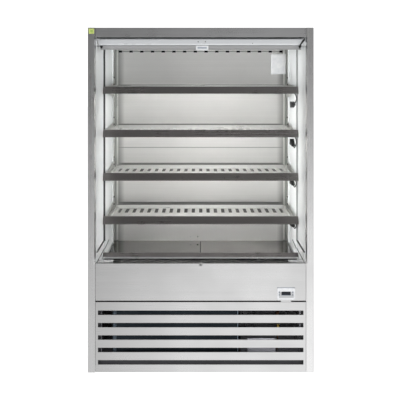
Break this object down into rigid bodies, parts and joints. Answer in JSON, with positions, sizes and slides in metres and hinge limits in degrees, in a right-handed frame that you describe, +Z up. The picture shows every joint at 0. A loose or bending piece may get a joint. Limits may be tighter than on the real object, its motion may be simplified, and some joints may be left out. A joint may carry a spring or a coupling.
{
  "type": "open multideck display fridge",
  "caption": "Tall open-fronted stainless display fridge with hung slotted shelves, base deck, night blind, controller and louvred condensing unit.",
  "frame": {"origin": "on the floor, under the centre of the cabinet", "axes": "+Z up, -Y towards the open front, +X to the right as seen from the front"},
  "size_m": [1.21, 0.68, 1.85],
  "materials": {
    "stainless": "vertical brushed, satin",
    "white_liner": "satin white",
    "white_plastic": "satin moulding",
    "black_plastic": "satin moulding",
    "galvanised": "dull",
    "aluminium": "anodised satin",
    "strip": "dark satin",
    "diffuser": "frosted",
    "lead": "matt",
    "display": "glossy window",
    "key": "satin",
    "coil": "finned, dull",
    "fan": "satin moulding",
    "motor": "satin black",
    "compressor": "gloss black enamel",
    "copper": "drawn tube",
    "cloth": "woven blind cloth",
    "foot": "moulded pad on a stud"
  },
  "bodies": {
    "cabinet": {"back_panel_lower": "stainless", "back_panel_upper": "stainless", "back_wall": "galvanised", "base_frame": "galvanised", "blind_brackets": "white_plastic", "blind_cassette": "aluminium", "blind_fabric": "cloth", "canopy_soffit": "galvanised", "compressor": "compressor", "condenser": "coil", "condenser_fan_motor": "motor", "controller_bezel": "white_plastic", "controller_display": "display", "deck_rail": "strip", "electrical_box": "galvanised", "end_panel_left": "stainless", "end_panel_right": "stainless", "evaporator": "aluminium", "evaporator_fan_panel": "galvanised", "fan_shroud": "motor", "header_fascia": "stainless", "honeycomb_outlet": "white_plastic", "insulated_tank": "galvanised", "lamp_lead_1": "lead", "lamp_lead_2": "lead", "lamp_lead_3": "lead", "lamp_lead_4": "lead", "lamp_plugs": "black_plastic", "levelling_feet": "foot", "liner_left": "white_liner", "liner_right": "white_liner", "liner_trims": "stainless", "pipework": "copper", "return_grille": "stainless", "roof_panel": "galvanised", "shelf_brackets": "stainless", "shelf_lamps": "diffuser", "shelf_tray_1": "stainless", "shelf_tray_2": "stainless", "shelf_tray_3": "stainless", "shelf_tray_4": "stainless", "shelf_uprights": "stainless", "sill_fascia": "stainless", "ticket_strip_1": "strip", "ticket_strip_2": "strip", "ticket_strip_3": "strip", "ticket_strip_4": "strip"},
    "blind_bar": {"blind_bar": "aluminium", "blind_handle": "white_plastic"},
    "blind_roller": {"blind_roller": "cloth"},
    "condenser_fan": {"condenser_fan": "fan"},
    "evaporator_fan_left": {"evaporator_fan_left": "fan"},
    "evaporator_fan_right": {"evaporator_fan_right": "fan"},
    "louvre_panel": {"louvre_panel": "stainless"},
    "deck_tray_left": {"deck_tray_left": "stainless"},
    "deck_tray_right": {"deck_tray_right": "stainless"},
    "button_up": {"button_up": "key"},
    "button_down": {"button_down": "key"},
    "button_set": {"button_set": "key"},
    "button_defrost": {"button_defrost": "key"}
  },
  "joints": [
    {"name": "blind_pull", "type": "slide", "parent": "cabinet", "child": "blind_bar", "axis": [0, 0, -1], "range_m": [0, 1.135], "stiffness_N_per_m": 14, "springref_m": -1.4, "deforming": ["blind_fabric"]},
    {"name": "blind_roller_turn", "type": "hinge", "parent": "cabinet", "child": "blind_roller", "pos_m": [0, -0.284, 1.775], "axis": [1, 0, 0], "range_deg": [0, 4647]},
    {"name": "condenser_fan_spin", "type": "hinge", "parent": "cabinet", "child": "condenser_fan", "pos_m": [-0.14, -0.178, 0.206], "axis": [0, 1, 0], "continuous": true},
    {"name": "evaporator_fan_left_spin", "type": "hinge", "parent": "cabinet", "child": "evaporator_fan_left", "pos_m": [-0.22, -0.113, 0.482], "axis": [0, 1, 0], "continuous": true},
    {"name": "evaporator_fan_right_spin", "type": "hinge", "parent": "cabinet", "child": "evaporator_fan_right", "pos_m": [0.22, -0.113, 0.482], "axis": [0, 1, 0], "continuous": true},
    {"name": "louvre_panel_pull", "type": "slide", "parent": "cabinet", "child": "louvre_panel", "axis": [0, -1, 0], "range_m": [0, 0.12]},
    {"name": "deck_tray_left_lift", "type": "slide", "parent": "cabinet", "child": "deck_tray_left", "axis": [0, 0, 1], "range_m": [0, 0.08]},
    {"name": "deck_tray_right_lift", "type": "slide", "parent": "cabinet", "child": "deck_tray_right", "axis": [0, 0, 1], "range_m": [0, 0.08]},
    {"name": "button_up_press", "type": "slide", "parent": "cabinet", "child": "button_up", "axis": [0, 1, 0], "range_m": [0, 0.0008], "stiffness_N_per_m": 400, "springref_m": -0.0004},
    {"name": "button_down_press", "type": "slide", "parent": "cabinet", "child": "button_down", "axis": [0, 1, 0], "range_m": [0, 0.0008], "stiffness_N_per_m": 400, "springref_m": -0.0004},
    {"name": "button_set_press", "type": "slide", "parent": "cabinet", "child": "button_set", "axis": [0, 1, 0], "range_m": [0, 0.0008], "stiffness_N_per_m": 400, "springref_m": -0.0004},
    {"name": "button_defrost_press", "type": "slide", "parent": "cabinet", "child": "button_defrost", "axis": [0, 1, 0], "range_m": [0, 0.0008], "stiffness_N_per_m": 400, "springref_m": -0.0004}
  ],
  "couplings": [
    {"joint": "blind_roller_turn", "follows": "blind_pull", "rad_per_m": 71.429}
  ]
}
